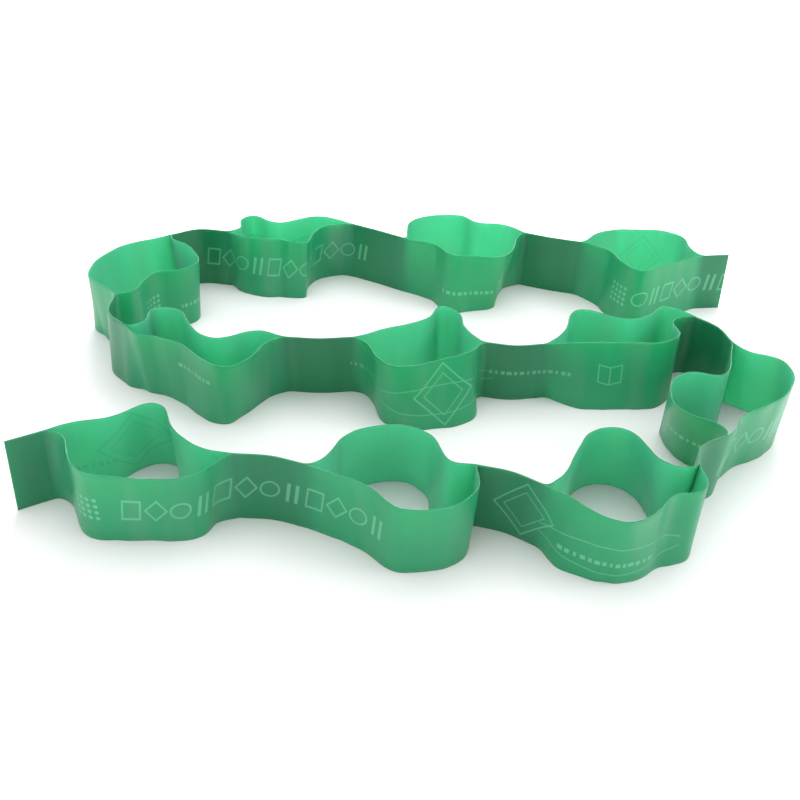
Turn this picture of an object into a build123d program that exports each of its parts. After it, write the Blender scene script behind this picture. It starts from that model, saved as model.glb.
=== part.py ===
from build123d import *
import math
import os

# A consecutive-loop resistance band, standing on edge in three folded rows.
# Two long elastomer strips are bonded face to face at short webs.  Between two webs
# the strips are free, so each stretch opens into a loop.  Every loop turns on its
# neighbours by bending the middle of the web between them, a living hinge.
# The strips' width stands along Z.  All plans are drawn in XY, in millimetres.

# ---- driving dimensions ----
STRIP_WIDTH = 50
LAYER = 0.6
HINGE_GAP = 1.6
TAB_ROOT = 5
PLAN_SHIFT = Vector(-2.45, -0.62)
STATIONS = 40
END_PULL = (1, 1)

# ---- the plan ----
# Each web is three places: where the loop before it closes, its hinge line, and where
# the loop after it opens.  Web 1 lies between loops 1 and 2.
WEBS = [
    ((-102, -148), (-83, -149), (-64, -155)),
    ((34, -152), (52, -157), (68, -167)),
    ((159, -145), (164, -129), (182, -117)),
    ((215, -6), (211, 12), (199, 26)),
    ((84, -18), (66, -21), (48, -18)),
    ((-46, -16), (-67, -19), (-88, -18)),
    ((-202, -7), (-217, 10), (-219, 33)),
    ((-199, 141), (-181, 152), (-159, 150)),
    ((-52, 170), (-32, 159), (-12, 147)),
    ((91, 163), (111, 155), (132, 149)),
]
# Each end tab leaves its loop at a place and in a direction, in degrees, for a length.
LEFT_TAB = ((-216, -132), 212, 21)
RIGHT_TAB = ((232, 129), 8, 19)

# The places that each loop's two strips pass through between its webs.  Strip A is on
# the right hand and strip B on the left hand, walking from loop 1 to loop 11.
STRIP_A = [
    [(-205, -135), (-196, -152), (-184, -167), (-160, -172), (-134, -171), (-116, -163)],
    [(-44, -164), (-27, -173), (-14, -187), (4, -191), (24, -184), (33, -172), (33, -158)],
    [(84, -179), (98, -193), (111, -196), (125, -188), (140, -174), (154, -170), (160, -160)],
    [(197, -98), (215, -84), (233, -70), (244, -50), (241, -29), (225, -20)],
    [(188, 38), (180, 41), (168, 29), (150, 21), (133, 27), (117, 32), (108, 22), (103, 4), (94, -10)],
    [(37, -7), (31, 8), (28, 25), (16, 31), (10, 18), (-6, 5), (-26, -5)],
    [(-106, -11), (-118, -13), (-134, -22), (-149, -16), (-160, 3), (-172, 17), (-187, 15), (-189, -1)],
    [(-208, 41), (-204, 55), (-196, 73), (-180, 78), (-170, 92), (-177, 111), (-190, 127), (-200, 137)],
    [(-147, 143), (-130, 138), (-110, 136), (-92, 131), (-87, 146), (-80, 163), (-66, 170)],
    [(2, 141), (15, 134), (26, 118), (44, 116), (70, 119), (78, 134), (81, 150)],
    [(143, 144), (154, 134), (162, 114), (176, 99), (192, 107), (209, 118)],
]
STRIP_B = [
    [(-200, -122), (-181, -116), (-158, -101), (-152, -105), (-147, -117), (-138, -130), (-125, -142)],
    [(-52, -149), (-44, -130), (-33, -121), (-12, -116), (6, -122), (13, -137), (20, -150)],
    [(78, -161), (87, -146), (95, -129), (107, -114), (118, -112), (130, -123), (136, -140), (150, -148)],
    [
        (181, -107), (170, -99), (160, -88), (159, -71), (167, -54), (180, -48),
        (195, -51), (206, -38), (211, -22),
    ],
    [(186, 24), (180, 15), (182, 3), (172, -8), (150, -12), (115, -14)],
    [(36, -29), (20, -39), (3, -47), (-15, -51), (-27, -40), (-33, -25)],
    [(-102, -28), (-110, -46), (-124, -57), (-140, -49), (-154, -34), (-172, -24), (-190, -19)],
    [(-233, 50), (-247, 66), (-248, 84), (-240, 107), (-228, 123), (-212, 132)],
    [(-147, 159), (-149, 173), (-141, 183), (-127, 174), (-115, 170), (-98, 181), (-80, 185), (-64, 177)],
    [(-9, 160), (-7, 178), (4, 190), (22, 196), (38, 196), (50, 183), (68, 180), (82, 173)],
    [(142, 157), (152, 168), (172, 176), (192, 177), (212, 173), (222, 161), (223, 144)],
]

LOOPS = len(STRIP_A)


def place(point):
    return Vector(*point) + PLAN_SHIFT


def heading(start, finish):
    return (place(finish) - place(start)).normalized()


def at_angle(degrees):
    return Vector(math.cos(math.radians(degrees)), math.sin(math.radians(degrees)))


def left_of(direction):
    return Vector(-direction.Y, direction.X)


def band(name, points, first_heading, last_heading, thickness):
    """One strip standing on edge, of even thickness on both sides of a smooth middle line."""
    with BuildLine() as middle:
        Spline(*points, tangents=(first_heading, last_heading), tangent_scalars=END_PULL)
    edge = middle.edge()
    steps = [i / STATIONS for i in range(STATIONS + 1)]
    left = [edge @ u + left_of(edge % u) * thickness / 2 for u in steps]
    right = [edge @ u - left_of(edge % u) * thickness / 2 for u in steps]
    with BuildPart() as piece:
        with BuildSketch():
            with BuildLine():
                Spline(*left)
                Line(left[-1], right[-1])
                Spline(*reversed(right))
                Line(right[0], left[0])
            make_face()
        extrude(amount=STRIP_WIDTH)
    save(piece, name)
    return edge.length


def plate(name, start, finish):
    """One straight half of a bonded web or tab, both layers thick."""
    direction = (finish - start).normalized()
    side = left_of(direction) * LAYER
    with BuildPart() as piece:
        with BuildSketch():
            with BuildLine():
                Polyline(start + side, start - side, finish - side, finish + side, close=True)
            make_face()
        extrude(amount=STRIP_WIDTH)
    save(piece, name)


def save(piece, name):
    piece.part.label = name
    export_step(piece.part, f"parts/{name}.step")


def ends_of_loop(index):
    """Where a loop opens and closes, with the direction along the band at each."""
    if index == 0:
        opening = place(LEFT_TAB[0])
        first = at_angle(LEFT_TAB[1]) * -1
    else:
        opening = place(WEBS[index - 1][2])
        first = heading(WEBS[index - 1][1], WEBS[index - 1][2])
    if index == LOOPS - 1:
        closing = place(RIGHT_TAB[0])
        last = at_angle(RIGHT_TAB[1])
    else:
        closing = place(WEBS[index][0])
        last = heading(WEBS[index][0], WEBS[index][1])
    return opening, first, closing, last


def make_loop(index):
    opening, first, closing, last = ends_of_loop(index)
    for letter, side, route in (("a", -1, STRIP_A[index]), ("b", 1, STRIP_B[index])):
        offset = side * LAYER / 2
        points = [opening + left_of(first) * offset]
        points += [place(point) for point in route]
        points += [closing + left_of(last) * offset]
        length = band(f"loop_{index + 1:02d}_strip_{letter}", points, first, last, LAYER)
        print(f"loop {index + 1} strip {letter}: {length:.1f} mm between its webs")


def make_web(index):
    before, hinge, after = [place(point) for point in WEBS[index]]
    near_end = hinge - (hinge - before).normalized() * HINGE_GAP / 2
    far_end = hinge + (after - hinge).normalized() * HINGE_GAP / 2
    first, second = index + 1, index + 2
    plate(f"loop_{first:02d}_web_to_{second:02d}", before, near_end)
    plate(f"loop_{second:02d}_web_to_{first:02d}", far_end, after)


def make_tab(corner, degrees, length, loop, name):
    direction = at_angle(degrees)
    start = place(corner)
    plate(f"loop_{loop:02d}_tab_root", start, start + direction * (TAB_ROOT - HINGE_GAP / 2))
    plate(name, start + direction * (TAB_ROOT + HINGE_GAP / 2), start + direction * length)


os.makedirs("parts", exist_ok=True)
for loop_index in range(LOOPS):
    make_loop(loop_index)
for web_index in range(len(WEBS)):
    make_web(web_index)
make_tab(*LEFT_TAB, 1, "end_tab_left")
make_tab(*RIGHT_TAB, LOOPS, "end_tab_right")
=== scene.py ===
"""A looped resistance band: two green elastomer strips bonded at short webs, standing on edge.

Each loop's two walls, each bonded web and each end tab is a piece of its own, built around the
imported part, whose thin solids give the line that every strip follows.
"""

import math

import bpy
import numpy as np
from bpy.props import FloatProperty, FloatVectorProperty, IntProperty, PointerProperty
from mathutils import Matrix, Vector


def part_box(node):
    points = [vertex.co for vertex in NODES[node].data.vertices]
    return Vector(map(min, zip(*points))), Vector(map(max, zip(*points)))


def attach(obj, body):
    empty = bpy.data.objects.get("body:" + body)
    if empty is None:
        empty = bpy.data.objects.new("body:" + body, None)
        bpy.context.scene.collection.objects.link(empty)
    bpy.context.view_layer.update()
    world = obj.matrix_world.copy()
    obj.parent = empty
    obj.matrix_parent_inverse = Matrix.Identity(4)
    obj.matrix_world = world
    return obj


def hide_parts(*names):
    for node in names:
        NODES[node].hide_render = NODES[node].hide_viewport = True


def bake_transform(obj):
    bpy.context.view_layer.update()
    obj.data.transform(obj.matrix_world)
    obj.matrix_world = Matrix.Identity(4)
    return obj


bl_info = {
    "name": "Looped Resistance Band",
    "version": (1, 0, 0),
    "blender": (4, 5, 0),
    "location": "View3D > Sidebar > Resistance Band",
    "description": "Builds the walls, bonded webs and end tabs of a looped elastomer band",
    "category": "Add Mesh",
}

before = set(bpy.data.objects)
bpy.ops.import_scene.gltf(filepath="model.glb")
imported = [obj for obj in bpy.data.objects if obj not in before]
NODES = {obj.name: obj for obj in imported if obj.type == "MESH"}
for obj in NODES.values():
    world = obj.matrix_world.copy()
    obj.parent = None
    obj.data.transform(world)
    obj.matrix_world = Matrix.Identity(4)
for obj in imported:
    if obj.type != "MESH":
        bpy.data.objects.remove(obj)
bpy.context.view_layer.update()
MM = 0.001

LOOPS = sum(name.endswith("_strip_a") for name in NODES)
STRIP_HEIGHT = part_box("loop_01_strip_a")[1][2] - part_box("loop_01_strip_a")[0][2]

# How far the lower edge stands aside from the upper one, in millimetres along X and Y, at
# each end tab and web, walking from the left tab to the right tab.
WEB_LEAN = [
    (-2, -1), (0, 3), (0, 6), (-2, 2), (2, 4), (0, 9), (0, 9), (-4, 1), (0, 1), (0, 2), (0, 4),
    (3, 4),
]
# How far a wall's lower edge stands out past its upper one: pairs of per cent of the way
# along the wall and millimetres, outwards if positive.
WALL_LEAN = {
    "01a": ((8, 1), (16, 2), (24, 2), (34, 0), (45, -4), (60, -5), (80, -5), (92, -7)),
    "01b": ((20, 2), (40, 5), (50, 6), (70, 0)),
    "02a": ((8, 0), (18, -2), (32, 0), (50, -3), (62, -6), (73, -5), (88, -3)),
    "02b": ((20, 3), (42, 8), (57, 9), (63, 3), (75, -3)),
    "03a": ((7, 3), (14, 4), (22, -1), (34, -6), (46, -4), (58, 0), (70, 3), (82, 1)),
    "03b": ((25, 4), (45, 6), (57, 8), (63, 9), (78, 6)),
    "04a": ((10, -3), (28, -6), (58, -2), (82, 5), (95, 4)),
    "05b": ((12, 0), (28, 0), (35, 4), (42, 8), (78, 8), (89, 0), (97, -6)),
    "06b": ((5, 0), (15, 9), (30, 10), (45, 5), (63, -2), (80, -3), (95, -4)),
    "07b": (
        (10, -4), (18, -7), (28, -10), (38, -7), (48, -1), (58, 2), (68, 0), (80, -4), (92, -5),
    ),
    "08a": ((30, 0), (50, -3), (60, -3), (80, 0)),
    "08b": ((15, 0), (25, -4), (36, 3), (50, 2)),
    "09a": ((16, 5), (27, 7), (38, 5), (50, 0), (64, -6), (79, -5), (90, -4)),
    "10a": ((12, 1), (40, 4), (54, -4), (73, -12), (90, -9)),
    "11a": ((18, 3), (29, 5), (45, 3), (60, 0), (90, 1)),
}
# Places where a wall twists: per cent along, millimetres along X and Y.
WALL_TWIST = {
    "04b": ((4, 0, 0), (14, 7, 15), (26, 9, 21), (38, 7, 19), (50, -1, 8), (62, 0, 0)),
}
# Soft creases across the strip: loop, strip, distance along in millimetres, depth in
# millimetres (outwards if positive), half-width in millimetres.
CREASES = [
    (1, "a", 34, -0.7, 5), (1, "a", 98, 0.9, 10), (1, "b", 52, 0.6, 8), (2, "a", 44, -0.8, 7),
    (2, "a", 66, 1.1, 12), (2, "b", 84, -0.7, 7), (3, "a", 74, 0.8, 10), (3, "a", 92, -1.1, 9),
    (3, "b", 88, 0.6, 8), (4, "a", 24, -0.9, 4), (4, "a", 44, 0.9, 10), (4, "a", 78, -0.6, 6),
    (4, "b", 60, 0.5, 6), (5, "b", 18, -0.8, 4), (5, "b", 44, 0.8, 6), (5, "b", 62, 1.3, 7),
    (5, "b", 78, -1.1, 5), (5, "b", 94, 1.2, 5), (5, "a", 90, 0.6, 6), (6, "b", 56, 1.0, 7),
    (6, "b", 66, -1.4, 5), (6, "a", 40, 0.6, 6), (7, "b", 62, 0.9, 8), (7, "b", 100, -0.8, 4),
    (7, "b", 112, 1.1, 4), (7, "b", 122, -1.1, 4), (7, "b", 133, 1.2, 4), (7, "b", 143, -0.9, 3),
    (8, "a", 60, -0.9, 6), (8, "b", 70, 0.7, 9), (9, "a", 24, -1.1, 4), (9, "a", 36, -0.8, 3),
    (9, "a", 43, 1.3, 3), (9, "a", 50, -1.1, 3), (9, "a", 57, 1.3, 3), (9, "a", 66, -0.9, 3),
    (9, "a", 74, 0.8, 3), (9, "b", 40, 0.7, 6), (10, "a", 30, -1.1, 6), (10, "a", 84, 0.9, 9),
    (10, "b", 96, -0.8, 6), (11, "a", 30, -0.9, 6), (11, "a", 58, 0.9, 10), (11, "b", 80, 0.6, 8),
]
# Generic printed marks: strip, loop, distance from the loop's opening in millimetres, height
# of the middle above the lower edge, kind, width and height in millimetres, tilt.
MARKS = [
    ("a", 1, 50, 24, "dots", 18, 18, 0.0),
    ("a", 1, 154, 25, "shapes", 168, 20, 0.15),
    ("a", 3, -8, 25, "diamond", 40, 44, 0.0),
    ("a", 3, 46, 15, "caption", 62, 5, 0.0),
    ("a", 3, 50, 20, "arcs", 96, 30, 0.0),
    ("a", 4, 42, 25, "shapes", 84, 20, 0.15),
    ("a", 8, 40, 24, "dots", 17, 17, 0.0),
    ("a", 8, 92, 18, "caption", 56, 5, 0.0),
    ("a", 9, 66, 26, "shapes", 168, 20, 0.15),
    ("a", 10, 66, 17, "caption", 46, 5, 0.0),
    ("a", 10, 106, 25, "diamond", 30, 44, 0.0),
    ("a", 11, 52, 24, "dots", 18, 18, 0.0),
    ("a", 11, 120, 25, "shapes", 112, 20, 0.15),
    ("b", 1, 52, 26, "diamond", 52, 44, 0.0),
    ("b", 1, 22, 16, "caption", 34, 5, 0.0),
    ("b", 4, 26, 24, "caption", 42, 5, 0.0),
    ("b", 5, 92, 25, "book", 16, 15, 0.0),
    ("b", 5, 148, 25, "caption", 58, 5, 0.0),
    ("b", 6, 44, 24, "arcs", 96, 34, 0.0),
    ("b", 6, 40, 25, "diamond", 44, 48, 0.0),
    ("b", 6, 108, 27, "caption", 30, 5, 0.0),
    ("b", 7, 86, 33, "caption", 34, 5, 0.0),
    ("b", 9, 60, 25, "shapes", 112, 20, 0.15),
    ("b", 11, 70, 25, "diamond", 38, 42, 0.0),
]


# ---------------------------------------------------------------- lines from the frame


def middle_of(node):
    """The middle of a node's box, in plan."""
    low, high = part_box(node)
    return (np.array(low[:2]) + np.array(high[:2])) / 2


def lower_outline(node):
    """The plan outline of a node's lower face, as points in order round it."""
    mesh = NODES[node].data
    points = np.array([tuple(v.co) for v in mesh.vertices])
    keys = np.round(points / 1e-7).astype(int)
    _, first, same = np.unique(keys, axis=0, return_index=True, return_inverse=True)
    same = same.reshape(-1)
    floor = points[:, 2].min() + 1e-6
    sides = {}
    for face in mesh.polygons:
        flat = abs(face.normal.z) > 0.5
        corners = list(face.vertices)
        for a, b in zip(corners, corners[1:] + corners[:1]):
            if points[a][2] < floor and points[b][2] < floor and flat:
                edge = tuple(sorted((int(same[a]), int(same[b]))))
                sides[edge] = sides.get(edge, 0) + 1
    links = {}
    for (a, b), uses in sides.items():
        if uses == 1:
            links.setdefault(a, []).append(b)
            links.setdefault(b, []).append(a)
    start = next(iter(links))
    order, last = [start], None
    while True:
        onward = [n for n in links[order[-1]] if n != last]
        last = order[-1]
        if not onward or onward[0] == start:
            break
        order.append(onward[0])
    return points[first[order]][:, :2]


def distances_along(line):
    """How far each point of a line lies from its start, walking along it."""
    return np.concatenate([[0], np.cumsum(np.linalg.norm(np.diff(line, axis=0), axis=1))])


def resampled(line, count):
    """The same line through evenly spaced points."""
    along = distances_along(line)
    at = np.linspace(0, along[-1], count)
    return np.column_stack([np.interp(at, along, line[:, axis]) for axis in (0, 1)])


def length_of(line):
    """The length of a line."""
    return float(np.linalg.norm(np.diff(line, axis=0), axis=1).sum())


def middle_line(node, start_near, spacing):
    """The line midway between a thin node's two long sides, from the end nearest a place."""
    outline = lower_outline(node)
    before = outline - np.roll(outline, 1, axis=0)
    after = np.roll(outline, -1, axis=0) - outline
    cosine = (before * after).sum(axis=1) / (
        np.linalg.norm(before, axis=1) * np.linalg.norm(after, axis=1)
    )
    corners = np.sort(np.argsort(cosine)[:4])
    rolled = np.roll(outline, -corners[0], axis=0)
    corners = corners - corners[0]
    cuts = [rolled[a : b + 1] for a, b in zip(corners[:3], corners[1:])]
    cuts.append(np.vstack([rolled[corners[3] :], rolled[:1]]))
    pair = (cuts[0], cuts[2]) if length_of(cuts[0]) > length_of(cuts[1]) else (cuts[1], cuts[3])
    count = max(3, int(round(length_of(pair[0]) / spacing)) + 1)
    line = (resampled(pair[0], count) + resampled(pair[1][::-1], count)) / 2
    if np.linalg.norm(line[0] - start_near) > np.linalg.norm(line[-1] - start_near):
        line = line[::-1]
    return line


def left_normals(line):
    """Unit vectors to the left of each point of a line."""
    ahead = np.gradient(line, axis=0)
    ahead /= np.linalg.norm(ahead, axis=1)[:, None]
    return np.column_stack([-ahead[:, 1], ahead[:, 0]])


def hermite(start, finish, start_way, finish_way, count):
    """A smooth run between two places that leaves and arrives along two directions."""
    reach = np.linalg.norm(finish - start)
    t = np.linspace(0, 1, count)[:, None]
    return (
        (2 * t**3 - 3 * t**2 + 1) * start
        + (t**3 - 2 * t**2 + t) * start_way * reach
        + (3 * t**2 - 2 * t**3) * finish
        + (t**3 - t**2) * finish_way * reach
    )


# ---------------------------------------------------------------- strips as meshes


def eased(t):
    """A smooth climb from 0 to 1."""
    t = np.clip(t, 0, 1)
    return t * t * (3 - 2 * t)


def rounded_section(half, height, rows, layers):
    """A strip's cross-section as (offset, height, side) points; side is 1 on the left face."""
    levels = np.linspace(half / layers, height - half / layers, rows)
    edge = half / layers
    middles = [edge * (2 * k + 1) - half for k in range(layers)]
    section = [(half, z, 1) for z in levels]
    for middle in reversed(middles):
        for angle in (45, 90, 135):
            a = math.radians(angle)
            section.append((middle + edge * math.cos(a), height - edge + edge * math.sin(a), 0))
        if middle is not middles[0]:
            section.append((middle - edge, height - edge * 0.8, 0))
    section += [(-half, z, -1) for z in levels[::-1]]
    for middle in middles:
        for angle in (225, 270, 315):
            a = math.radians(angle)
            section.append((middle + edge * math.cos(a), edge + edge * math.sin(a), 0))
        if middle is not middles[-1]:
            section.append((middle + edge, edge * 0.8, 0))
    return section


def strip_mesh(name, line, half, aside, first_distance, layers, materials, rows, bonded):
    """A closed strip along a plan line. aside(share of height) gives each station's shift."""
    normals = left_normals(line)
    section = rounded_section(half, STRIP_HEIGHT, rows, layers)
    stations, around = len(line), len(section)
    points = np.zeros((stations, around, 3))
    for k, (offset, z, _) in enumerate(section):
        points[:, k, :2] = line + normals * offset + aside(z / STRIP_HEIGHT)
        points[:, k, 2] = z
    faces, marks = [], []
    for i in range(stations - 1):
        for k in range(around):
            n = (k + 1) % around
            here, next_one = i * around, (i + 1) * around
            faces.append((here + k, next_one + k, next_one + n, here + n))
            marks.append(section[k][2] if section[k][2] == section[n][2] else 0)
    faces.append(tuple(range(around)))
    faces.append(tuple(reversed(range((stations - 1) * around, stations * around))))
    marks += [0, 0]
    mesh = bpy.data.meshes.new(name)
    mesh.from_pydata(points.reshape(-1, 3).tolist(), [], faces)
    for material in materials:
        mesh.materials.append(material)
    slots = {1: 0, -1: 1, 0: 2}
    mesh.polygons.foreach_set("material_index", [slots[m] for m in marks])
    mesh.polygons.foreach_set("use_smooth", [True] * (len(faces) - 2) + [False, False])
    distances = distances_along(line)
    layer = mesh.uv_layers.new(name="strip")
    for loop in mesh.loops:
        station, k = divmod(loop.vertex_index, around)
        layer.data[loop.index].uv = (first_distance + distances[station], section[k][1])
    shares = mesh.attributes.new("bonded", "FLOAT", "POINT")
    shares.data.foreach_set("value", np.repeat(bonded, around).astype(np.float32))
    last_ring = (stations - 1) * around
    for edge in mesh.edges:
        first, second = edge.vertices
        edge.use_edge_sharp = max(first, second) < around or min(first, second) >= last_ring
    mesh.validate()
    obj = bpy.data.objects.new(name, mesh)
    bpy.context.scene.collection.objects.link(obj)
    return obj


def loop_lines(loop, spacing):
    """The middle lines of a loop's two walls, both walking from the left tab to the right."""
    before = f"loop_{loop:02d}_web_to_{loop - 1:02d}" if loop > 1 else "loop_01_tab_root"
    opening = middle_of(before)
    return {
        strip: middle_line(f"loop_{loop:02d}_strip_{strip}", opening, spacing) for strip in "ab"
    }


def web_nodes(index):
    """The two halves of web index, and their bodies. Web 0 and the last are the end tabs."""
    if index == 0:
        return ("end_tab_left", "loop_01_tab_root"), ("left_tab", "loop_01")
    if index == LOOPS:
        last = f"loop_{LOOPS:02d}"
        return (f"{last}_tab_root", "end_tab_right"), (last, "right_tab")
    first, second = f"loop_{index:02d}", f"loop_{index + 1:02d}"
    nodes = (f"{first}_web_to_{index + 1:02d}", f"{second}_web_to_{index:02d}")
    return nodes, (first, second)


def web_line(index, spacing):
    """A web's middle line, smooth through its hinge, and the hinge itself."""
    (first, second), _ = web_nodes(index)
    start = middle_line(first, middle_of(first) * 2 - middle_of(second), 1.0)
    finish = middle_line(second, middle_of(first), 1.0)
    hinge = (start[-1] + finish[0]) / 2
    spans = [line[-1] - line[0] for line in (start, finish)]
    ways = [span / np.linalg.norm(span) for span in spans]
    turn = (ways[0] + ways[1]) / np.linalg.norm(ways[0] + ways[1])
    halves = [np.linalg.norm(end - hinge) for end in (start[0], finish[-1])]
    counts = [max(4, int(half / spacing) + 1) for half in halves]
    head = hermite(start[0], hinge, ways[0], turn, counts[0])
    tail = hermite(hinge, finish[-1], turn, ways[1], counts[1])
    return np.vstack([head, tail[1:]]), hinge, turn


# ---------------------------------------------------------------- settings


class BandSettings(bpy.types.PropertyGroup):
    """The fineness of the strips' meshes, how their bonds bend, how far the webs' painted shade
    fades, and the colours
    """

    station_spacing: FloatProperty(
        name="Station spacing", description="Distance between a strip's cross-sections",
        default=1.5 * MM, min=0.5 * MM, subtype="DISTANCE", unit="LENGTH",
    )
    rows: IntProperty(
        name="Rows", description="Cross-section points up each face of a strip", default=18, min=4,
    )
    bend_reach: FloatProperty(
        name="Bend reach", description="How far each side of a hinge line the web bends",
        default=8 * MM, subtype="DISTANCE", unit="LENGTH",
    )
    # The webs' darker colour is painted shade; this is how far it fades into the free walls.
    bond_shade_fade: FloatProperty(
        name="Bond fade", description="How far the darker bonded web fades into the free walls",
        default=9 * MM, subtype="DISTANCE", unit="LENGTH",
    )
    ripple: FloatProperty(
        name="Ripple", description="Height of the slow unevenness along a free wall",
        default=0.35 * MM, subtype="DISTANCE", unit="LENGTH",
    )
    face_colour: FloatVectorProperty(
        name="Face colour", description="Colour of the strips' outer faces",
        default=(0.015, 0.252, 0.120), size=3, subtype="COLOR",
    )
    # Paler and brighter than the face colour: painted light that stands in for the light shining
    # through the thin sheet.
    inside_backlit_colour: FloatVectorProperty(
        name="Inside colour", description="Colour of the loops' inner faces",
        default=(0.082, 0.395, 0.262), size=3, subtype="COLOR",
    )
    # Darker than the face colour: painted shade for the lesser light that shines through the two
    # bonded layers.
    web_shade_colour: FloatVectorProperty(
        name="Web colour", description="Colour of the bonded webs, two layers thick",
        default=(0.013, 0.200, 0.090), size=3, subtype="COLOR",
    )
    print_colour: FloatVectorProperty(
        name="Print colour", description="Colour of the pale printed marks",
        default=(0.150, 0.46, 0.29), size=3, subtype="COLOR",
    )


class StageSettings(bpy.types.PropertyGroup):
    """The floor's colour and where the camera stands"""

    floor_colour: FloatVectorProperty(
        name="Floor colour", description="Colour of the plain pale floor",
        default=(0.9, 0.9, 0.9), size=3, subtype="COLOR",
    )
    focal_length: FloatProperty(
        name="Focal length", description="Camera focal length in millimetres", default=42.3,
    )
    tilt: FloatProperty(
        name="Tilt", description="How far the camera looks down",
        default=math.radians(34.23), subtype="ANGLE", unit="ROTATION",
    )
    roll: FloatProperty(
        name="Roll", description="How far the camera leans to one side",
        default=math.radians(1.64), subtype="ANGLE", unit="ROTATION",
    )
    camera_height: FloatProperty(
        name="Camera height", description="Height of the camera above the floor",
        default=0.3734, subtype="DISTANCE", unit="LENGTH",
    )
    camera_place: FloatVectorProperty(
        name="Camera place", description="Where the camera stands over the plan",
        default=(-0.01325, -0.56595), size=2, subtype="XYZ", unit="LENGTH",
    )


# ---------------------------------------------------------------- materials


def new_socket(tree, name, direction, kind, default=None):
    """One named input or output of a node group."""
    socket = tree.interface.new_socket(name=name, in_out=direction, socket_type=kind)
    if default is not None:
        socket.default_value = default
    return socket


def maths(tree, operation, *values):
    """A Math node fed with sockets or plain numbers; gives its output socket."""
    node = tree.nodes.new("ShaderNodeMath")
    node.operation = operation
    for place, value in enumerate(values):
        if isinstance(value, (int, float)):
            node.inputs[place].default_value = value
        else:
            tree.links.new(value, node.inputs[place])
    return node.outputs[0]


def soft_inside(tree, distance, blur):
    """1 where a distance is below zero, fading to 0 over a small blur."""
    node = tree.nodes.new("ShaderNodeMapRange")
    node.inputs["From Min"].default_value = blur
    node.inputs["From Max"].default_value = -blur
    tree.links.new(distance, node.inputs["Value"])
    return node.outputs[0]


def new_group(name, inputs, outputs):
    """An empty node group; gives its tree, what it is given and what it puts out."""
    tree = bpy.data.node_groups.new(name, "ShaderNodeTree")
    for label, kind, default in inputs:
        new_socket(tree, label, "INPUT", kind, default)
    for label, kind in outputs:
        new_socket(tree, label, "OUTPUT", kind)
    return tree, tree.nodes.new("NodeGroupInput").outputs, tree.nodes.new("NodeGroupOutput").inputs


PRINT_BLUR = 0.25 * MM
SHAPE_LINE = 0.55 * MM
THIN_LINE = 0.3 * MM
NUMBER = "NodeSocketFloat"
MARK_INPUTS = [
    ("Along", NUMBER, 0.0), ("Up", NUMBER, 0.0), ("Width", NUMBER, 0.05), ("Height", NUMBER, 0.02),
    ("Tilt", NUMBER, 0.0),
]
MASK_OUTPUT = [("Mask", NUMBER)]


def in_cells(tree, value, pitch):
    """A repeated row: the number of the cell, and the place from the cell's middle."""
    cell = maths(tree, "FLOOR", maths(tree, "DIVIDE", value, pitch))
    middle = maths(tree, "MULTIPLY", maths(tree, "ADD", cell, 0.5), pitch)
    return cell, maths(tree, "SUBTRACT", value, middle)


def past_half(tree, value, size):
    """Distance outside a span of a given size round the origin, negative inside it."""
    half = maths(tree, "MULTIPLY", size, 0.5)
    return maths(tree, "SUBTRACT", maths(tree, "ABSOLUTE", value), half)


def outline_of(tree, distance, half_line):
    """Distance outside a thin line drawn where another distance is zero."""
    return maths(tree, "SUBTRACT", maths(tree, "ABSOLUTE", distance), half_line)


def printed(tree, out, distance, ends=None):
    """Put out a mark's mask from its distance, cut off past its ends."""
    if ends is not None:
        distance = maths(tree, "MAXIMUM", distance, ends)
    tree.links.new(soft_inside(tree, distance, PRINT_BLUR), out["Mask"])
    return tree


def box_distance(tree, along, up, half_width, half_height):
    """Distance outside a box round the origin, negative inside it."""
    across = maths(tree, "SUBTRACT", maths(tree, "ABSOLUTE", along), half_width)
    above = maths(tree, "SUBTRACT", maths(tree, "ABSOLUTE", up), half_height)
    return maths(tree, "MAXIMUM", across, above)


def shapes_group():
    """A row of plain outlined shapes, leaning a little: ring, bars, square, diamond."""
    tree, given, out = new_group("Printed shapes", MARK_INPUTS, MASK_OUTPUT)
    tilted = maths(tree, "MULTIPLY", given["Up"], given["Tilt"])
    cell, inside = in_cells(tree, maths(tree, "SUBTRACT", given["Along"], tilted), 14 * MM)
    kind = maths(tree, "FLOORED_MODULO", cell, 4.0)
    across, above = maths(tree, "ABSOLUTE", inside), maths(tree, "ABSOLUTE", given["Up"])
    ring = maths(tree, "SQRT", maths(
        tree, "ADD", maths(tree, "MULTIPLY", across, across), maths(tree, "MULTIPLY", above, above)
    ))
    square = maths(tree, "MAXIMUM", across, maths(tree, "MULTIPLY", above, 0.72))
    slope = maths(
        tree, "ADD", maths(tree, "MULTIPLY", across, 0.78), maths(tree, "MULTIPLY", above, 0.62)
    )
    upright = outline_of(tree, maths(tree, "SUBTRACT", across, 2.7 * MM), 1.1 * MM)
    choices = (
        outline_of(tree, maths(tree, "SUBTRACT", ring, 5.6 * MM), SHAPE_LINE),
        maths(tree, "MAXIMUM", upright, maths(tree, "SUBTRACT", above, 7.4 * MM)),
        outline_of(tree, maths(tree, "SUBTRACT", square, 5.0 * MM), SHAPE_LINE),
        outline_of(tree, maths(tree, "SUBTRACT", slope, 4.8 * MM), SHAPE_LINE),
    )
    distance = 0.0
    for number, choice in enumerate(choices):
        chosen = maths(tree, "COMPARE", kind, float(number), 0.5)
        distance = maths(tree, "ADD", maths(tree, "MULTIPLY", chosen, choice), distance)
    return printed(tree, out, distance, past_half(tree, given["Along"], given["Width"]))


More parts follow.
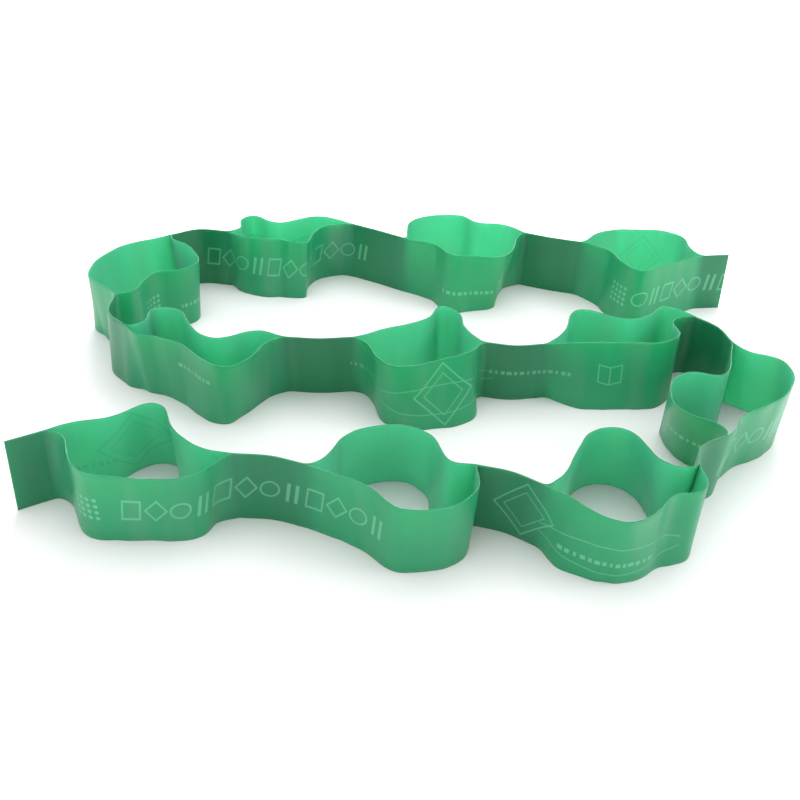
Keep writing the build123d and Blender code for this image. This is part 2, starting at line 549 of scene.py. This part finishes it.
def dots_group():
    """A square block of small discs, four to a side."""
    tree, given, out = new_group("Printed dots", MARK_INPUTS, MASK_OUTPUT)
    pitch = maths(tree, "DIVIDE", given["Height"], 4.0)
    squares = [
        maths(tree, "POWER", in_cells(tree, given[side], pitch)[1], 2.0) for side in ("Along", "Up")
    ]
    reach = maths(tree, "SQRT", maths(tree, "ADD", *squares))
    disc = maths(tree, "SUBTRACT", reach, maths(tree, "MULTIPLY", pitch, 0.3))
    half = maths(tree, "MULTIPLY", given["Height"], 0.5)
    return printed(tree, out, disc, box_distance(tree, given["Along"], given["Up"], half, half))


def diamond_group():
    """Two diamond outlines, one inside the other."""
    tree, given, out = new_group("Printed diamond", MARK_INPUTS, MASK_OUTPUT)
    across = maths(tree, "DIVIDE", maths(tree, "ABSOLUTE", given["Along"]), given["Width"])
    above = maths(tree, "DIVIDE", maths(tree, "ABSOLUTE", given["Up"]), given["Height"])
    reach = maths(tree, "MULTIPLY", maths(tree, "ADD", across, above), 30 * MM)
    outer = outline_of(tree, maths(tree, "SUBTRACT", reach, 14 * MM), 0.45 * MM)
    inner = outline_of(tree, maths(tree, "SUBTRACT", reach, 9.5 * MM), THIN_LINE)
    return printed(tree, out, maths(tree, "MINIMUM", outer, inner))


def arcs_group():
    """Two thin lines that bow across the strip, one near each edge."""
    tree, given, out = new_group("Printed arcs", MARK_INPUTS, MASK_OUTPUT)
    share = maths(tree, "DIVIDE", given["Along"], given["Width"])
    bow = maths(tree, "MULTIPLY", maths(tree, "MULTIPLY", share, share), given["Height"])
    upper = maths(tree, "SUBTRACT", maths(tree, "ADD", given["Up"], bow), 8 * MM)
    lower = maths(tree, "ADD", maths(tree, "SUBTRACT", given["Up"], bow), 13 * MM)
    lines = maths(
        tree, "MINIMUM", outline_of(tree, upper, THIN_LINE), outline_of(tree, lower, THIN_LINE)
    )
    return printed(tree, out, lines, maths(tree, "SUBTRACT", maths(tree, "ABSOLUTE", share), 0.5))


def caption_group():
    """A short row of small dashes of uneven length."""
    tree, given, out = new_group("Printed dashes", MARK_INPUTS, MASK_OUTPUT)
    cell, inside = in_cells(tree, given["Along"], 4.4 * MM)
    kind = maths(tree, "FLOORED_MODULO", maths(tree, "MULTIPLY", cell, 3.0), 5.0)
    half = maths(tree, "ADD", 0.8 * MM, maths(tree, "MULTIPLY", kind, 0.24 * MM))
    tall = maths(tree, "MULTIPLY", given["Height"], 0.3)
    dash = box_distance(tree, inside, given["Up"], half, tall)
    return printed(tree, out, dash, past_half(tree, given["Along"], given["Width"]))


def book_group():
    """An open booklet in outline: two leaning pages that meet at a fold."""
    tree, given, out = new_group("Printed booklet", MARK_INPUTS, MASK_OUTPUT)
    from_fold = maths(tree, "ABSOLUTE", given["Along"])
    quarter = maths(tree, "MULTIPLY", given["Width"], 0.25)
    tall = maths(tree, "MULTIPLY", given["Height"], 0.42)
    page = maths(tree, "SUBTRACT", from_fold, quarter)
    sloping = maths(tree, "SUBTRACT", given["Up"], maths(tree, "MULTIPLY", from_fold, 0.25))
    edge = box_distance(tree, page, sloping, quarter, tall)
    return printed(tree, out, outline_of(tree, edge, 0.45 * MM))


def elastomer_group():
    """Slow cloudiness, a faint moulded grain of calendered sheet, and painted sheen: fine
    lengthwise streaks and broad greyish bands.
    """
    tree, given, out = new_group(
        "Calendered elastomer",
        [("Seed", NUMBER, 0.0)],
        [("Cloud", NUMBER), ("Sheen streaks", NUMBER), ("Sheen bands", NUMBER), ("Height", NUMBER)],
    )
    uv = tree.nodes.new("ShaderNodeUVMap")
    uv.uv_map = "strip"
    shift = tree.nodes.new("ShaderNodeVectorMath")
    shift.operation = "ADD"
    tree.links.new(uv.outputs[0], shift.inputs[0])
    seed = tree.nodes.new("ShaderNodeCombineXYZ")
    tree.links.new(given["Seed"], seed.inputs["Z"])
    tree.links.new(seed.outputs[0], shift.inputs[1])

    def noise(scale, detail, stretch=(1, 1, 1)):
        mapping = tree.nodes.new("ShaderNodeMapping")
        mapping.inputs["Scale"].default_value = stretch
        texture = tree.nodes.new("ShaderNodeTexNoise")
        texture.inputs["Scale"].default_value = scale
        texture.inputs["Detail"].default_value = detail
        tree.links.new(shift.outputs[0], mapping.inputs["Vector"])
        tree.links.new(mapping.outputs[0], texture.inputs["Vector"])
        return texture.outputs["Fac"]

    tree.links.new(noise(28, 3), out["Cloud"])
    tree.links.new(noise(60, 2, (5, 0.35, 1)), out["Sheen streaks"])
    bands = tree.nodes.new("ShaderNodeMapRange")
    bands.interpolation_type = "SMOOTHSTEP"
    bands.inputs["From Min"].default_value = 0.52
    bands.inputs["From Max"].default_value = 0.74
    tree.links.new(noise(48, 1.5, (1, 0.16, 1)), bands.inputs["Value"])
    tree.links.new(bands.outputs[0], out["Sheen bands"])
    grain = maths(tree, "MULTIPLY", noise(2600, 2), 0.25)
    waves = maths(tree, "MULTIPLY", noise(110, 2, (1, 0.3, 1)), 0.75)
    tree.links.new(maths(tree, "ADD", grain, waves), out["Height"])
    return tree


MARK_GROUPS = {
    "shapes": shapes_group, "dots": dots_group, "diamond": diamond_group, "arcs": arcs_group,
    "caption": caption_group, "book": book_group,
}


def group(maker):
    """A node group, made the first time that it is asked for."""
    if maker.__name__ not in group.made:
        group.made[maker.__name__] = maker()
    return group.made[maker.__name__]


group.made = {}


def print_mask(tree, strip, openings):
    """All of one strip's printed marks as a single mask."""
    uv = tree.nodes.new("ShaderNodeUVMap")
    uv.uv_map = "strip"
    split = tree.nodes.new("ShaderNodeSeparateXYZ")
    tree.links.new(uv.outputs[0], split.inputs[0])
    mask = None
    for owner, loop, distance, height, kind, width, tall, tilt in MARKS:
        if owner != strip:
            continue
        node = tree.nodes.new("ShaderNodeGroup")
        node.node_tree = group(MARK_GROUPS[kind])
        centre = openings[strip][loop] + distance * MM
        tree.links.new(maths(tree, "SUBTRACT", split.outputs[0], centre), node.inputs["Along"])
        tree.links.new(maths(tree, "SUBTRACT", split.outputs[1], height * MM), node.inputs["Up"])
        node.inputs["Width"].default_value = width * MM
        node.inputs["Height"].default_value = tall * MM
        node.inputs["Tilt"].default_value = tilt
        mask = node.outputs[0] if mask is None else maths(tree, "MAXIMUM", mask, node.outputs[0])
    return mask


def mixed(tree, factor, first, second):
    """A blend of two colours, each a socket or three plain numbers."""
    node = tree.nodes.new("ShaderNodeMix")
    node.data_type = "RGBA"
    for place, value in ((0, factor), (6, first), (7, second)):
        if isinstance(value, bpy.types.NodeSocket):
            tree.links.new(value, node.inputs[place])
        elif place:
            node.inputs[place].default_value = (*value, 1)
        else:
            node.inputs[place].default_value = value
    return node.outputs[2]


DEEPER, PALER, PALE_LIFT = 0.86, 1.14, 0.004
# The paler streaks and the broad greyish bands are painted sheen: reflections drawn into the
# colour.
SHEEN_STREAK_SHARE, SHEEN_SHARE = 0.35, 0.75
SHEEN_COLOUR, SHEEN_TINT = (0.14, 0.30, 0.21), 0.45


def elastomer(name, colour, web_shade_colour, print_colour, strength, mask_maker, roughness, seed):
    """A satin elastomer with its cloudiness, grain and any print, with painted sheen streaks and
    bands, and a darker bond that is painted shade.
    """
    material = bpy.data.materials.new(name)
    material.use_nodes = True
    tree = material.node_tree
    shader = tree.nodes["Principled BSDF"]
    sheet = tree.nodes.new("ShaderNodeGroup")
    sheet.node_tree = group(elastomer_group)
    sheet.inputs["Seed"].default_value = seed
    deep = tuple(c * DEEPER for c in colour)
    pale = tuple(min(1, c * PALER + PALE_LIFT) for c in colour)
    base = mixed(tree, sheet.outputs["Cloud"], deep, pale)
    sheen_streak = maths(tree, "MULTIPLY", sheet.outputs["Sheen streaks"], SHEEN_STREAK_SHARE)
    base = mixed(tree, sheen_streak, base, pale)
    sheen_grey = tuple((1 - SHEEN_TINT) * c + SHEEN_TINT * g for c, g in zip(colour, SHEEN_COLOUR))
    sheen = maths(tree, "MULTIPLY", sheet.outputs["Sheen bands"], SHEEN_SHARE)
    base = mixed(tree, sheen, base, sheen_grey)
    # Painted shade: the bonded webs take the darker web colour, which fades out into the walls.
    bonded = tree.nodes.new("ShaderNodeAttribute")
    bonded.attribute_name = "bonded"
    base = mixed(tree, bonded.outputs["Fac"], base, web_shade_colour)
    rough = maths(tree, "ADD", roughness, maths(tree, "MULTIPLY", sheet.outputs["Cloud"], 0.10))
    if mask_maker:
        mask = maths(tree, "MULTIPLY", mask_maker(tree), strength)
        base = mixed(tree, mask, base, print_colour)
        rough = maths(tree, "ADD", rough, maths(tree, "MULTIPLY", mask, 0.08))
    tree.links.new(base, shader.inputs["Base Color"])
    tree.links.new(rough, shader.inputs["Roughness"])
    bump = tree.nodes.new("ShaderNodeBump")
    bump.inputs["Strength"].default_value = 0.25
    bump.inputs["Distance"].default_value = 0.15 * MM
    tree.links.new(sheet.outputs["Height"], bump.inputs["Height"])
    tree.links.new(bump.outputs[0], shader.inputs["Normal"])
    shader.inputs["IOR"].default_value = 1.5
    shader.inputs["Specular IOR Level"].default_value = 0.42
    shader.inputs["Subsurface Weight"].default_value = 0.8
    shader.inputs["Subsurface Radius"].default_value = (0.6, 1.0, 0.75)
    shader.inputs["Subsurface Scale"].default_value = 2.5 * MM
    return material


class Finishes:
    """The band's materials, made once the length of each strip is known."""

    made = {}

    @classmethod
    def prepare(cls, openings):
        """Make them all; openings gives where each loop opens along each strip."""
        s = bpy.context.scene.band_settings
        face, inside, web = tuple(s.face_colour), tuple(s.inside_backlit_colour), tuple(s.web_shade_colour)
        pale = tuple(s.print_colour)
        shade = tuple(c * 0.55 for c in inside)
        for number, strip in enumerate("ab"):
            def mask(tree, strip=strip):
                return print_mask(tree, strip, openings)

            cls.made[f"face_{strip}"] = elastomer(
                f"band_face_{strip}", face, web, pale, 0.7, mask, 0.30, number + 0.3
            )
            cls.made[f"inside_{strip}"] = elastomer(
                f"band_inside_{strip}", inside, web, shade, 0.35, mask, 0.36, number + 2.7
            )
        # The cut edge is darkened: painted shade that keeps the lamp-lit top rim from showing as a
        # bright line.
        shaded_rim = tuple(c * 0.6 for c in face)
        cls.made["edge"] = elastomer("cut_edge", shaded_rim, shaded_rim, shaded_rim, 0, None, 0.5, 8.4)


# ---------------------------------------------------------------- the plan as a whole


def plan():
    """Every piece's middle line, and where each loop opens along its strip."""
    spacing = bpy.context.scene.band_settings.station_spacing
    webs = [web_line(index, spacing) for index in range(LOOPS + 1)]
    walls = [loop_lines(loop, spacing) for loop in range(1, LOOPS + 1)]
    openings = {"a": {}, "b": {}}
    starts = {"a": [], "b": []}
    for strip in "ab":
        distance = 0.0
        for index in range(LOOPS + 1):
            starts[strip].append(distance)
            distance += length_of(webs[index][0])
            if index < LOOPS:
                openings[strip][index + 1] = distance
                distance += length_of(walls[index][strip])
    return webs, walls, openings, starts


def along_wall(share, table, column=1):
    """A smooth reading of a table of per cent and millimetres, nought at both ends."""
    places = np.array([0] + [row[0] for row in table] + [100]) / 100
    values = np.array([0] + [row[column] for row in table] + [0]) * MM
    raw = np.interp(share, places, values)
    reach = max(1, len(share) // 30)
    kernel = np.hanning(2 * reach + 3)[1:-1]
    padded = np.pad(raw, reach, mode="edge")
    return np.convolve(padded, kernel / kernel.sum(), mode="valid")


WINDOW_SHARE, SLANT_SHARE = 0.10, 0.2
CREASE_SWAY, CREASE_ROUND = 1.2 * MM, 0.04


def wall_aside(loop, strip, line):
    """A function of height that gives how far aside each station of a wall stands."""
    share = np.linspace(0, 1, len(line))
    distance = share * length_of(line)
    window = eased(np.minimum(share, 1 - share) / WINDOW_SHARE)
    outward = left_normals(line) * (-1 if strip == "a" else 1)
    before, after = (np.array(lean, float) * MM for lean in (WEB_LEAN[loop - 1], WEB_LEAN[loop]))
    slant = before * (1 - eased(share / SLANT_SHARE))[:, None]
    slant = slant + after * (1 - eased((1 - share) / SLANT_SHARE))[:, None]
    key = f"{loop:02d}{strip}"
    lean = along_wall(share, WALL_LEAN.get(key, ())) * window
    twist = WALL_TWIST.get(key, ())
    slant = slant + np.column_stack([along_wall(share, twist, 1), along_wall(share, twist, 2)])
    phase = loop * 1.7 + (2.4 if strip == "b" else 0)
    ripple = bpy.context.scene.band_settings.ripple

    def aside(up):
        out = ripple * np.sin(distance / (9 * MM) + phase + 1.3 * up)
        out = out + 0.6 * ripple * np.sin(distance / (4.3 * MM) + 2 * phase - 2.1 * up)
        swell = np.sin(distance / (17 * MM) + phase)
        out = out + 0.30 * ripple * np.sin(distance / (2.3 * MM) + 3 * phase + 1.5 * up) * swell
        for owner, letter, place, depth, half in CREASES:
            if owner == loop and letter == strip:
                away = (distance - place * MM - (up - 0.5) * CREASE_SWAY) / (half * MM)
                shape = np.exp(-np.sqrt(away**2 + CREASE_ROUND))
                out = out + depth * MM * shape * (0.55 + 0.45 * up)
        out = out * window + lean * (1 - up) ** 1.15
        return outward * out[:, None] + slant * (1 - up)

    return aside


def near_ends(line, reach):
    """1 at both ends of a line, easing to 0 at a distance from them."""
    along = distances_along(line)
    return 1 - eased(np.minimum(along, along[-1] - along) / reach)


def layer_thickness():
    """One layer's thickness, from the volume of a straight two-layer half web."""
    plate = middle_line("loop_06_web_to_07", middle_of("loop_06_web_to_07"), 1.0)
    outline = lower_outline("loop_06_web_to_07")
    x, y = outline[:, 0], outline[:, 1]
    area = abs(np.dot(x, np.roll(y, 1)) - np.dot(y, np.roll(x, 1))) / 2
    return area / length_of(plate) / 2


def web_aside(index, count):
    """A function of height that gives how far aside each station of a web stands."""
    lean = np.array(WEB_LEAN[index], float) * MM

    def aside(up):
        return np.repeat((lean * (1 - up))[None, :], count, axis=0)

    return aside


# ---------------------------------------------------------------- operators


class BAND_OT_finishes(bpy.types.Operator):
    """Make the elastomer's materials and the generic printed marks"""

    bl_idname = "band.finishes"
    bl_label = "Elastomer Finishes"

    def execute(self, context):
        Finishes.prepare(plan()[2])
        return {"FINISHED"}


class BAND_OT_loop_walls(bpy.types.Operator):
    """Build the two free walls of every loop"""

    bl_idname = "band.loop_walls"
    bl_label = "Loop Walls"

    def execute(self, context):
        s = context.scene.band_settings
        _, walls, openings, _ = plan()
        for loop in range(1, LOOPS + 1):
            for strip in "ab":
                node = f"loop_{loop:02d}_strip_{strip}"
                line = walls[loop - 1][strip]
                half = layer_thickness() / 2
                faces = [Finishes.made[f"inside_{strip}"], Finishes.made[f"face_{strip}"]]
                if strip == "b":
                    faces.reverse()
                faces.append(Finishes.made["edge"])
                wall = strip_mesh(
                    f"wall_{loop:02d}_{strip}", line, half, wall_aside(loop, strip, line),
                    openings[strip][loop], 1, faces, s.rows, 0.5 * near_ends(line, s.bond_shade_fade),
                )
                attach(wall, f"loop_{loop:02d}")
                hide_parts(node)
        return {"FINISHED"}


class BAND_OT_webs(bpy.types.Operator):
    """Build the bonded webs between the loops and the two end tabs"""

    bl_idname = "band.webs"
    bl_label = "Bonded Webs and End Tabs"

    def execute(self, context):
        s = context.scene.band_settings
        webs, _, _, starts = plan()
        for index, (line, hinge, way) in enumerate(webs):
            nodes, bodies = web_nodes(index)
            between = f"web_{index:02d}_{index + 1:02d}"
            name = {0: "tab_left", LOOPS: "tab_right"}.get(index, between)
            faces = [Finishes.made["face_b"], Finishes.made["face_a"], Finishes.made["edge"]]
            web = strip_mesh(
                name, line, layer_thickness(), web_aside(index, len(line)),
                starts["a"][index], 2, faces, s.rows, 1 - 0.5 * near_ends(line, s.bond_shade_fade),
            )
            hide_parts(*nodes)
            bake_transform(web)
        return {"FINISHED"}


FLOOR_HALF = 12.0
# Softbox, where it hangs, its side in metres and its power in watts. All face the origin.
SOFTBOXES = (
    ("top_softbox", (0.1, 0.3, 1.5), 1.4, 9),
    ("back_softbox", (0.1, 1.6, 0.45), 1.6, 60),
    ("front_softbox", (-0.7, -1.1, 1.0), 0.6, 1.2),
    ("right_softbox", (1.2, -0.2, 0.9), 0.6, 4),
)


class BAND_OT_stage(bpy.types.Operator):
    """Set up the pale floor, the soft lights and the camera"""

    bl_idname = "band.stage"
    bl_label = "Stage"

    def execute(self, context):
        s = context.scene.stage_settings
        self.floor(s)
        self.lights()
        self.camera(s)
        return {"FINISHED"}

    def floor(self, s):
        half = FLOOR_HALF
        mesh = bpy.data.meshes.new("studio_floor")
        corners = [(-half, -half, 0), (half, -half, 0), (half, half, 0), (-half, half, 0)]
        mesh.from_pydata(corners, [], [(0, 1, 2, 3)])
        floor = bpy.data.objects.new("studio_floor", mesh)
        bpy.context.scene.collection.objects.link(floor)
        material = bpy.data.materials.new("pale_floor")
        material.use_nodes = True
        shader = material.node_tree.nodes["Principled BSDF"]
        shader.inputs["Base Color"].default_value = (*s.floor_colour, 1)
        shader.inputs["Roughness"].default_value = 0.8
        mesh.materials.append(material)

    def lights(self):
        bpy.context.scene.view_settings.view_transform = "Standard"
        world = bpy.data.worlds.new("studio_world")
        world.use_nodes = True
        background = world.node_tree.nodes["Background"]
        background.inputs["Color"].default_value = (1, 1, 1, 1)
        background.inputs["Strength"].default_value = 1.0
        bpy.context.scene.world = world
        for name, place, size, energy in SOFTBOXES:
            light = bpy.data.lights.new(name, "AREA")
            light.shape = "SQUARE"
            light.size = size
            light.energy = energy
            lamp = bpy.data.objects.new(name, light)
            lamp.location = place
            lamp.rotation_euler = (-Vector(place)).to_track_quat("-Z", "Y").to_euler()
            bpy.context.scene.collection.objects.link(lamp)

    def camera(self, s):
        data = bpy.data.cameras.new("camera")
        data.lens = s.focal_length
        data.sensor_width = 36
        camera = bpy.data.objects.new("camera", data)
        ahead = Vector((0, math.cos(s.tilt), -math.sin(s.tilt)))
        right, up = Vector((1, 0, 0)), Vector((0, math.sin(s.tilt), math.cos(s.tilt)))
        right, up = (
            right * math.cos(s.roll) + up * math.sin(s.roll),
            up * math.cos(s.roll) - right * math.sin(s.roll),
        )
        turn = Matrix((right, up, -ahead)).transposed().to_4x4()
        place = Vector((*s.camera_place, s.camera_height))
        camera.matrix_world = Matrix.Translation(place) @ turn
        bpy.context.scene.collection.objects.link(camera)
        bpy.context.scene.camera = camera


OPERATORS = (BAND_OT_finishes, BAND_OT_loop_walls, BAND_OT_webs, BAND_OT_stage)


class BAND_PT_panel(bpy.types.Panel):
    """The band's sizes, colours and building steps"""

    bl_label = "Resistance Band"
    bl_idname = "BAND_PT_panel"
    bl_space_type = "VIEW_3D"
    bl_region_type = "UI"
    bl_category = "Resistance Band"

    def draw(self, context):
        for operator in OPERATORS:
            self.layout.operator(operator.bl_idname)
        for settings in (context.scene.band_settings, context.scene.stage_settings):
            for name in settings.__annotations__:
                self.layout.prop(settings, name)


CLASSES = (BandSettings, StageSettings, *OPERATORS, BAND_PT_panel)


def register():
    for cls in CLASSES:
        bpy.utils.register_class(cls)
    bpy.types.Scene.band_settings = PointerProperty(type=BandSettings)
    bpy.types.Scene.stage_settings = PointerProperty(type=StageSettings)


def unregister():
    del bpy.types.Scene.stage_settings
    del bpy.types.Scene.band_settings
    for cls in reversed(CLASSES):
        bpy.utils.unregister_class(cls)


def main():
    """Build the whole band on its stage."""
    register()
    bpy.ops.band.finishes()
    bpy.ops.band.loop_walls()
    bpy.ops.band.webs()
    bpy.ops.band.stage()


if __name__ == "__main__":
    main()
